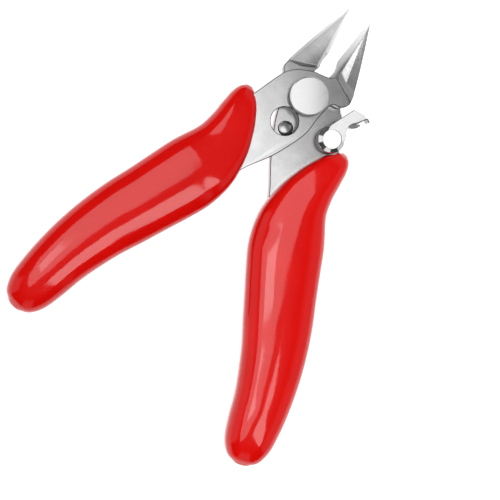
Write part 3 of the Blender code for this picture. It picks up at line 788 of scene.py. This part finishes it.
def rear_lever():
    mesh = plate(rear_outline(), *REAR_PLATE_Z)
    low, high = REAR_PLATE_Z
    facets = [on_jaw(REAR, *face) for face in REAR_JAW_FACES]
    climb = across_base(CLIMB_TURN, CLIMB_REACH, high, CLIMB_TILT, -1)
    mesh = combined(mesh, "UNION", jaw(REAR, REAR_JAW_TOP, [*facets, climb], REAR_BEVEL_RISE))
    top = high + 1
    inner, outer = SPRING_R - POCKET_CLEAR, SPRING_R + POCKET_CLEAR
    section = [(inner, POCKET_FLOOR), (outer, POCKET_FLOOR), (outer, top), (inner, top)]
    # The pocket's walls take the bore look, which is painted shade.
    pocket = turned(section, ring=True, look=BORE)
    slot_middle = (SPRING_R + POCKET_SLOT[0] / 2, 0, (POCKET_FLOOR + top) / 2)
    slot = box((*POCKET_SLOT, top - POCKET_FLOOR), slot_middle, SPRING_START)
    step = box((12, 12, 4), (0, 6, high - SHOULDER_STEP_DEPTH + 2), SHOULDER_STEP_TURN, SHOULDER_STEP)
    cutters = [
        bore_cutter(SHANK_R + FIT, low, high, (0, 0)),
        pocket,
        slot,
        step,
        bore_cutter(STOP_PIN_R + FIT, low, high, STOP_PIN, PIN_FLARE),
        bore_cutter(STUD_R + FIT, low, high, CATCH, PIN_FLARE),
    ]
    return combined(mesh, "DIFFERENCE", *cutters)


# ---- grips ----


def grip_section(centre, away, half_width, half_thick):
    """Points round a grip, across the handle. Its inner side is squarer at the mouth."""
    found = []
    mouth = rise(centre.y, *MOUTH_Y)
    for i in range(GRIP_POINTS):
        angle = 2 * math.pi * (i + 0.5) / GRIP_POINTS
        c, s = math.cos(angle), math.sin(angle)
        power = GRIP_POWER + (MOUTH_POWER - GRIP_POWER) * mouth * rise(-c, 0.0, 0.5)
        across = math.copysign(abs(c) ** (2 / power), c) * half_width
        up = math.copysign(abs(s) ** (2 / power), s) * half_thick
        point = Vector((*(centre + away * across), MID_PLANE + up))
        wave = noise.noise(point * GRIP_WAVE_PITCH) * GRIP_WAVE * min(half_width / 5, 1)
        inward = Vector((*(away * across), up)).normalized()
        found.append(point - inward * (GRIP_WAVE * 2 + wave))
    return found


def grip_mesh(side):
    """The dipped skin: a fine loft with domed ends, slotted for the steel.

    The front half's grip also thins toward its nose, with a faint crease where that begins.
    """
    rows = smooth_through(grip_rows(side), GRIP_STEPS)
    if side == FRONT:
        for row in rows:
            row[3] *= 1 - NOSE_SLOPE * max(0.0, row[1] - NOSE_SLOPE_Y)
    first, last = rows[0], rows[-1]
    noseward = (first - rows[2])[:2]
    tailward = (last - rows[-3])[:2]
    noseward = noseward / np.linalg.norm(noseward)
    tailward = tailward / np.linalg.norm(tailward)
    nose, tail = [], []
    for angle in GRIP_CAP_ANGLES:
        c, s = math.cos(math.radians(angle)), math.sin(math.radians(angle))
        nose_end = first[:2] + noseward * s * NOSE_CAP
        tail_end = last[:2] + tailward * (1 - c**2) * TAIL_CAP
        nose.append(np.array((*nose_end, first[2] * c, first[3] * c)))
        tail.append(np.array((*tail_end, last[2] * c, last[3] * c)))
    rows = [*nose[::-1], *rows, *tail]
    bm = bmesh.new()
    rings = [[bm.verts.new(p) for p in grip_section(*station)] for station in with_outward(rows, side)]
    for one, other in zip(rings, rings[1:]):
        join_rings(bm, one, other, FACE)
    bm.faces.new(rings[0])
    bm.faces.new(rings[-1][::-1])
    mesh = mesh_of(bm)
    outer, inner = handle_edges(side)
    low, high = FRONT_PLATE_Z if side == FRONT else REAR_PLATE_Z
    outline = widened(anticlockwise([*outer, *inner]), MOUTH_GAP)
    cutters = [plate(outline, low - MOUTH_GAP, high + MOUTH_GAP, SLOT_EDGE, FACE, FACE)]
    if side == REAR:
        top = CATCH_TOP + 1
        radius = CATCH_BOSS_R + CATCH_GRIP_GAP
        clearance = turned([(0, REAR_PLATE_Z[1]), (radius, REAR_PLATE_Z[1]), (radius, top), (0, top)])
        cutters.append(moved(clearance, (*CATCH, 0)))
    return combined(mesh, "DIFFERENCE", *cutters)


# ---- pivot, pin, spring and catch ----


def rivet_mesh():
    under = FRONT_PLATE_Z[1] + RUNNING_GAP
    flat = HEAD_R - HEAD_RIM
    profile = [(0, 0), (SHANK_R, 0), (SHANK_R, under), (HEAD_R, under)]
    profile += [(HEAD_R, HEAD_TOP - HEAD_CHAMFER), (flat, HEAD_TOP - HEAD_CROWN)]
    edge = rounded(vectors(profile), 0.05, closed=False)[:-1]
    crown = [(flat * r, HEAD_TOP - HEAD_CROWN * r**2) for r in HEAD_CROWN_STEPS]
    mesh = turned([*edge, *crown], 128)
    # Below the top, the head's side wall takes the second look, near-black: painted shade.
    for face in mesh.polygons:
        face.material_index = FACE if face.center.z > HEAD_TOP - HEAD_LOOK_DEPTH else RIM
    return mesh


def collar_mesh():
    hole = SHANK_R + FIT
    profile = [(hole, 0), (HEAD_R - COLLAR_CHAMFER, 0), (HEAD_R, COLLAR_CHAMFER)]
    profile += [(HEAD_R, COLLAR_TOP), (hole, COLLAR_TOP)]
    return turned(rounded(vectors(profile), 0.08), 128, ring=True)


def pin_mesh():
    low, high = PIN_Z
    flat = STOP_PIN_R - PIN_RIM
    shoulder = high - PIN_CROWN
    corners = [(STOP_PIN_R, low + PIN_FOOT_CHAMFER), (STOP_PIN_R, shoulder), (flat, shoulder + PIN_SHOULDER)]
    edge = rounded(vectors(corners), 0.1, closed=False)
    crown = [(flat * r, high - (PIN_CROWN - PIN_SHOULDER) * r**2) for r in PIN_CROWN_STEPS]
    return turned([(0, low), (STOP_PIN_R - PIN_FOOT_CHAMFER, low), *edge, *crown], 96)


def spring_mesh():
    """The flat torsion spring round the pivot: a swept round wire with one leg out and one leg up."""
    coil = arc(SPRING_R, SPRING_START + 4, SPRING_START + SPRING_TURN, SPRING_COIL_STEPS)
    route = [Vector((*polar(SPRING_R + out, SPRING_START), SPRING_Z)) for out in SPRING_FOOT]
    route += [Vector((*point, SPRING_Z)) for point in coil]
    for i in range(1, SPRING_LEG_STEPS):
        route.append(Vector((*coil[-1], SPRING_Z + 0.1 + SPRING_LEG_PITCH * i)))
    angles = [2 * math.pi * i / SPRING_SIDES for i in range(SPRING_SIDES)]
    bm = bmesh.new()
    rings = []
    side_way = Vector((0, 0, 1))
    for before, here, after in zip(route[:1] + route[:-1], route, route[1:] + route[-1:]):
        along = (after - before).normalized()
        side_way = (side_way - along * side_way.dot(along)).normalized()
        other_way = along.cross(side_way)
        spokes = [side_way * math.cos(a) + other_way * math.sin(a) for a in angles]
        rings.append([bm.verts.new(here + spoke * SPRING_WIRE_R) for spoke in spokes])
    for one, other in zip(rings, rings[1:]):
        join_rings(bm, one, other, FACE)
    bm.faces.new(rings[0])
    bm.faces.new(rings[-1][::-1])
    return mesh_of(bm)


def catch_mesh():
    """The stamped and plated lock lever: a domed boss, a flat arm and two prongs bent down from its edge."""
    hole = STUD_R + FIT
    cone_foot = CATCH_TOP - CATCH_CONE_DROP
    cone = [(CATCH_BOSS_R, cone_foot - CATCH_CONE_LAND), (CATCH_BOSS_R, cone_foot)]
    cone += [(CATCH_TOP_R, CATCH_TOP), (CATCH_TOP_R - 0.3, CATCH_TOP)]
    shoulder = [tuple(p) for p in rounded(vectors(cone), CATCH_ROUND, closed=False)]
    socket = CATCH_TOP - CATCH_SOCKET
    profile = [(0, socket), (hole, socket), (hole, CATCH_FOOT)]
    profile.append((CATCH_BOSS_R - CATCH_FOOT_CHAMFER, CATCH_FOOT))
    profile.append((CATCH_BOSS_R, CATCH_FOOT + CATCH_FOOT_CHAMFER))
    boss = turned([*profile, *shoulder, (0, CATCH_TOP)], 128)
    # The boss's upright wall takes near-black steel: painted shade.
    for face in boss.polygons:
        face.material_index = BOSS_WALL if abs(face.normal.z) < 0.3 else FACE
    arm_outline = rounded(vectors(CATCH_ARM), ARM_CORNER)
    arm = plate(arm_outline, CATCH_TOP - CATCH_SHEET, CATCH_TOP - ARM_BELOW, 0.12)
    # The arm's top stays plated; its edges and underside take darker plating, painted shade.
    for face in arm.polygons:
        face.material_index = SHEET_TOP if face.normal.z > 0.9 else RIM
    hook_outline = strip(smooth_through(vectors(CATCH_HOOK), 4), HOOK_WIDTH)
    hook = plate(hook_outline, CATCH_TOP - HOOK_DEPTHS[0], CATCH_TOP - HOOK_DEPTHS[1], HOOK_EDGE)
    prong_outline = rounded(vectors(CATCH_PRONG), PRONG_CORNER)
    prong = plate(prong_outline, CATCH_TOP - PRONG_DEPTHS[0], CATCH_TOP - PRONG_DEPTHS[1], PRONG_EDGE)
    # The hook and prong are all darker plating: painted shade.
    for bent in (hook, prong):
        for face in bent.polygons:
            face.material_index = RIM
    return combined(boss, "UNION", arm, hook, prong)


def washer_mesh():
    low, high = WASHER_Z
    hole, rim = STUD_R + FIT, CATCH_BOSS_R - WASHER_INSET
    return turned(rounded(vectors([(hole, low), (rim, low), (rim, high), (hole, high)]), 0.05), ring=True)


def stud_mesh():
    low, high = STUD_Z
    under = REAR_PLATE_Z[0] - FIT
    profile = [(0, low), (STUD_HEAD_R - STUD_CHAMFER, low), (STUD_HEAD_R, low + STUD_CHAMFER)]
    profile.append((STUD_HEAD_R, under))
    profile += [(STUD_R, under), (STUD_R, high), (0, high)]
    return turned(rounded(vectors(profile), 0.08, closed=False))


def make_pieces():
    half = OPENING / 2
    place = [value / MM for value in JOINTS["catch_swing"]["pos_m"][:2]]
    # The catch's second and third looks, on its edges, hook, prong and boss wall, are painted shade.
    catch_looks = [CHROME, SHADED_CHROME, EDGE_PAINTED_SHADE, DULL_CHROME]
    head_looks = [HEAD_LOOK, BORE_PAINTED_SHADE]
    pin = moved(pin_mesh(), (*STOP_PIN, 0))
    piece("fine_front_lever", front_lever(), LEVER_LOOKS, "front_half", "front_lever", -half)
    piece("fine_rear_lever", rear_lever(), LEVER_LOOKS, "rear_half", "rear_lever", half)
    piece("dipped_left_grip", grip_mesh(FRONT), [PVC], "front_half", "left_grip", -half, sharp=50)
    piece("dipped_right_grip", grip_mesh(REAR), [PVC], "rear_half", "right_grip", half, sharp=50)
    piece("fine_pivot_rivet", rivet_mesh(), head_looks, "rear_half", "pivot_rivet")
    piece("fine_pivot_collar", collar_mesh(), [HEAD_LOOK], "rear_half", "pivot_collar")
    piece("domed_stop_pin", pin, [PIN_LOOK], "rear_half", "stop_pin", half)
    piece("plated_catch", catch_mesh(), catch_looks, "catch", "catch_lever", 0, place)
    washer, stud, wire = washer_mesh(), stud_mesh(), spring_mesh()
    piece("fine_catch_washer", washer, [SPRING_LOOK], "rear_half", "catch_washer", 0, place)
    piece("riveted_catch_stud", stud, [HEAD_LOOK], "rear_half", "catch_stud", 0, place)
    spring = piece("wound_return_spring", wire, [SPRING_LOOK], None, "return_spring", half)
    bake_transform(spring)


# ---- camera, floor and light ----

ROLL = math.radians(32.6)
TILT = math.radians(10.0)
ACROSS = Vector((math.cos(ROLL), math.sin(ROLL), 0))
UPWARD = Vector((-math.sin(ROLL), math.cos(ROLL), 0))
TARGET = Vector((7.04, -32.1, MID_PLANE)) * MM
DISTANCE = 0.2803
LENS = 100
SENSOR = 36
FLOOR_RADIUS = 1.6
FLOOR_GAP = 0.03
FLOOR_GLOW = 0.75
LOW_LIGHT = 120


def make_camera():
    """Nearly overhead, leaning a little to the left, with the jaws toward the upper right."""
    back = Vector((0, 0, 1)) * math.cos(TILT) - ACROSS * math.sin(TILT)
    right = ACROSS * math.cos(TILT) + Vector((0, 0, 1)) * math.sin(TILT)
    data = bpy.data.cameras.new("camera")
    data.lens = LENS
    data.sensor_width = SENSOR
    data.clip_start = 0.01
    camera = bpy.data.objects.new("camera", data)
    bpy.context.scene.collection.objects.link(camera)
    turn = Matrix((right, UPWARD, back)).transposed().to_4x4()
    camera.matrix_world = Matrix.Translation(TARGET + back * DISTANCE) @ turn
    bpy.context.scene.camera = camera


def make_floor():
    """A flat white disc under the tool, which glows so that it stays even."""
    bm = bmesh.new()
    bmesh.ops.create_circle(bm, cap_ends=True, segments=96, radius=FLOOR_RADIUS)
    mesh = bpy.data.meshes.new("floor")
    bm.to_mesh(mesh)
    bm.free()
    look, tree, shader = new_look("white_sweep", Roughness=0.9)
    paper = add(tree, "ShaderNodeTexNoise", Vector=in_millimetres(tree), Scale=0.5, Detail=3.0)
    tree.links.new(ramp(tree, paper.outputs["Fac"], (0.3, 0.9), (0.7, 0.93)), shader.inputs["Base Color"])
    shader.inputs["Emission Color"].default_value = (1, 1, 1, 1)
    shader.inputs["Emission Strength"].default_value = FLOOR_GLOW
    mesh.materials.append(look)
    floor = bpy.data.objects.new("floor", mesh)
    floor.location.z = (GRIP_Z[0] - FLOOR_GAP) * MM
    bpy.context.scene.collection.objects.link(floor)


def receivers(name, *pieces):
    """The named pieces as a collection that a light is kept to."""
    group = bpy.data.collections.new(name)
    for piece_name in pieces:
        group.objects.link(bpy.data.objects[piece_name])
    return group


def softbox(name, place, size, radiance, group=None, turn=0.0, seen=True):
    """A rectangular light for one group of pieces, or for all of them.

    Place is across, up and above the target, in millimetres. A high light faces down, a low one the tool.
    """
    data = bpy.data.lights.new(name, "AREA")
    data.shape = "RECTANGLE"
    data.size, data.size_y = size[0] * MM, size[1] * MM
    data.energy = radiance * math.pi * data.size * data.size_y
    light = bpy.data.objects.new(name, data)
    across, up, above = place
    light.location = TARGET + (ACROSS * across + UPWARD * up + Vector((0, 0, above))) * MM
    away = (light.location - TARGET).normalized()
    level = Matrix.Rotation(ROLL + math.radians(turn), 4, "Z")
    if above < LOW_LIGHT:
        level = away.to_track_quat("Z", "Y").to_matrix().to_4x4()
    light.matrix_world = Matrix.Translation(light.location) @ level
    light.visible_camera = False
    light.visible_glossy = seen
    bpy.context.scene.collection.objects.link(light)
    if group:
        light.light_linking.receiver_collection = group


# Brightness of the horizon by azimuth in degrees from the camera's right: start and level.
HORIZON = [(0, 0.6), (68, 0.1), (153, 0.9), (192, 0.05), (240, 0.8), (274, 0.04), (314, 0.6)]
HORIZON_BLUR = 3
HORIZON_HEIGHT = (0.6, 0.8)
ROOM = (0.14, 0.14, 0.14, 1)
WHITE = (1.0, 1.0, 1.0, 1)


def make_world():
    """A dim room: dark and light cards round the horizon, dim overhead, plain white to the camera."""
    world = bpy.data.worlds.new("studio")
    bpy.context.scene.world = world
    world.use_nodes = True
    tree = world.node_tree
    tree.nodes.clear()
    toward = tree.nodes.new("ShaderNodeTexCoord").outputs["Generated"]
    rotation = (0, 0, math.pi - ROLL)
    turned_view = add(tree, "ShaderNodeMapping", {"vector_type": "POINT"}, Vector=toward, Rotation=rotation)
    radial = {"gradient_type": "RADIAL"}
    around = add(tree, "ShaderNodeTexGradient", radial, Vector=turned_view.outputs["Vector"])
    stops = []
    for i, (azimuth, level) in enumerate(HORIZON):
        following = HORIZON[(i + 1) % len(HORIZON)][0] or 360
        stops += [((azimuth + HORIZON_BLUR) / 360, level), ((following - HORIZON_BLUR) / 360, level)]
    cards = ramp(tree, around.outputs["Fac"], *stops)
    height = add(tree, "ShaderNodeSeparateXYZ", Vector=toward).outputs["Z"]
    climb = ramp(tree, height, (HORIZON_HEIGHT[0], 0.0), (HORIZON_HEIGHT[1], 1.0))
    room = mix(tree, climb, cards, ROOM)
    seen = tree.nodes.new("ShaderNodeLightPath").outputs["Is Camera Ray"]
    shown = mix(tree, seen, room, WHITE)
    background = add(tree, "ShaderNodeBackground", Color=shown)
    output = tree.nodes.new("ShaderNodeOutputWorld")
    tree.links.new(background.outputs[0], output.inputs["Surface"])


def make_lights():
    """A fill over everything that no reflection shows, and soft boxes that each light a few pieces."""
    blades = receivers("blades", "fine_front_lever", "fine_rear_lever", "wound_return_spring")
    pin = receivers("pin", "domed_stop_pin")
    head = receivers("head", "fine_pivot_rivet")
    plated = receivers("plated", "plated_catch")
    left = receivers("left", "dipped_left_grip")
    right = receivers("right", "dipped_right_grip")
    softbox("overhead_fill", (0, 0, 700), (700, 700), 2.3, seen=False)
    softbox("blade_key", (-54.5, 2, 170), (210, 260), 1.4, blades, turn=20)
    softbox("right_jaw_key", (128, 122, 171), (50, 50), 4.2, blades)
    softbox("left_jaw_key", (0, 236, 171), (90, 90), 0.8, blades)
    softbox("left_jaw_side_key", (-112, 278, 110), (200, 240), 0.95, blades)
    softbox("head_key", (-20, 50, 170), (160, 200), 1.05, head)
    softbox("pin_key", (-90, -60, 170), (240, 200), 1.1, pin, turn=35)
    softbox("catch_key", (-10, 20, 170), (160, 170), 1.02, plated)
    softbox("left_sky", (-278, 328, 900), (434, 855), 3.1, left, turn=29.2)
    softbox("left_streak", (-230, 200, 899), (340, 90), 4.0, left, turn=-47)
    softbox("left_low", (352, -380, 900), (640, 180), 6.0, left, turn=-47)
    softbox("right_sky", (-227, 79, 900), (843, 515), 3.0, right, turn=23.2)
    softbox("right_streak", (-190, 20, 899), (320, 90), 5.5, right)
    softbox("right_low", (312, -335, 900), (520, 180), 6.0, right, turn=-47)


def main():
    bpy.context.scene.view_settings.view_transform = "Standard"
    make_camera()
    make_floor()
    make_pieces()
    make_world()
    make_lights()


main()
